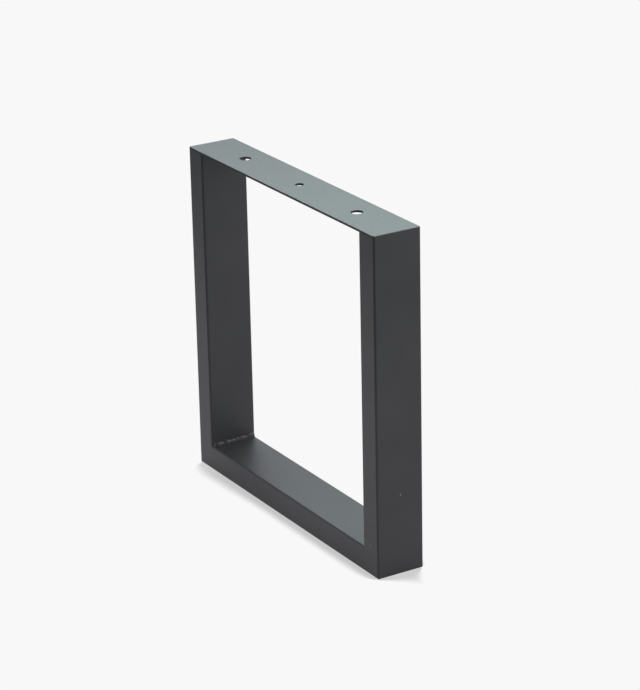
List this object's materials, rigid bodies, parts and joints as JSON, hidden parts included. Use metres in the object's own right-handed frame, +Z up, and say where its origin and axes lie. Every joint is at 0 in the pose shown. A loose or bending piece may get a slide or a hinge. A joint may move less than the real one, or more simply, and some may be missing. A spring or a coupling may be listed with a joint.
{
  "type": "u shaped table leg",
  "caption": "Welded sled-style table leg: a square frame of mitred rectangular steel tube, closed on top by a drilled flat mounting plate, in dark powder coat.",
  "frame": {"origin": "middle of the footprint, on the floor", "axes": "+X across the frame from the left upright to the right one, +Y through its depth, +Z up to the plate"},
  "size_m": [0.4, 0.06, 0.4],
  "materials": {
    "powder_coat": "fine matt anthracite powder coat"
  },
  "bodies": {
    "root": {"left_upright": "powder_coat", "right_upright": "powder_coat", "base_rail": "powder_coat", "top_plate": "powder_coat", "weld_lower_left": "powder_coat", "weld_lower_right": "powder_coat", "weld_upper_left": "powder_coat", "weld_upper_right": "powder_coat"}
  },
  "joints": []
}
